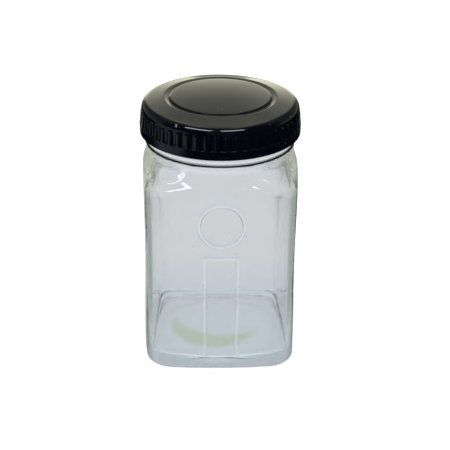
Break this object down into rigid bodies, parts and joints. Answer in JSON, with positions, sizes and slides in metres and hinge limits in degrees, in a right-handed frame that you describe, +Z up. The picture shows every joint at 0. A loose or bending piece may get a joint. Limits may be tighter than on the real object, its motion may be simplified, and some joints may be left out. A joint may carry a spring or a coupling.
{
  "type": "specimen jar",
  "caption": "Square clear glass jar with a round screw neck, a ribbed black moulded screw lid and a disc liner inside the lid.",
  "frame": {"origin": "middle of the ring that the jar stands on", "axes": "+Z up along the jar and the lid's screw axis; -Y is the face with the raised ring and panel frame; +X to the right of that face"},
  "size_m": [0.0878, 0.0878, 0.148],
  "materials": {
    "jar_glass": "clear pressed soda-lime glass with a faint green tint",
    "lid_plastic": "glossy black phenolic moulding, lightly scuffed",
    "liner_board": "plain grey-brown pulpboard",
    "liner_film": "off-white facing film, satin"
  },
  "bodies": {
    "jar": {"jar": "jar_glass"},
    "liner": {"liner_board": "liner_board", "liner_facing": "liner_film"},
    "lid": {"lid": "lid_plastic"}
  },
  "joints": [
    {"name": "lid_rise", "type": "slide", "parent": "jar", "child": "liner", "axis": [0, 0, 1], "range_m": [0, 0.02032]},
    {"name": "lid_turn", "type": "hinge", "parent": "liner", "child": "lid", "pos_m": [0, 0, 0.1421], "axis": [0, 0, 1], "range_deg": [0, 1440]}
  ],
  "couplings": [
    {"joint": "lid_rise", "follows": "lid_turn", "m_per_rad": 0.00080851}
  ]
}
